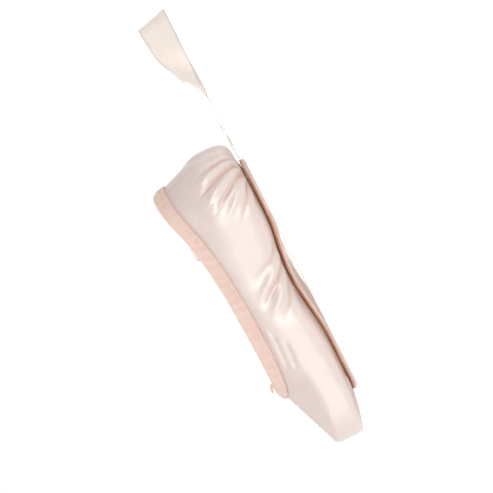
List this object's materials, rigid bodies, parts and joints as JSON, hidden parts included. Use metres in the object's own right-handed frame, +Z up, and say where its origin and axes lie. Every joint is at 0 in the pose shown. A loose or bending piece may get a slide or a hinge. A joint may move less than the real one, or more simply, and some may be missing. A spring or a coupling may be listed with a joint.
{
  "type": "pointe shoe",
  "caption": "Satin ballet pointe shoe with a flat-ended toe box, bound U-shaped throat with drawstring, leather outsole and ankle ribbons let down on the floor.",
  "frame": {"origin": "middle of the shoe's length and width on the floor, ribbons and drawstring left out", "axes": "+X from heel to toe, +Z up from the sole, +Y towards one side; the shoe itself is symmetric about the XZ plane"},
  "size_m": [0.2872, 0.1869, 0.0633],
  "materials": {
    "satin": "satin",
    "sole_leather": "matt, buffed",
    "lining": "matt",
    "binding_tape": "matt",
    "drawstring_cord": "matt",
    "ribbon_satin": "satin"
  },
  "bodies": {
    "root": {"upper": "satin", "outsole": "sole_leather", "insole": "lining", "binding": "binding_tape", "drawstring": "drawstring_cord", "ribbon_near": "ribbon_satin", "ribbon_far": "ribbon_satin"}
  },
  "joints": []
}
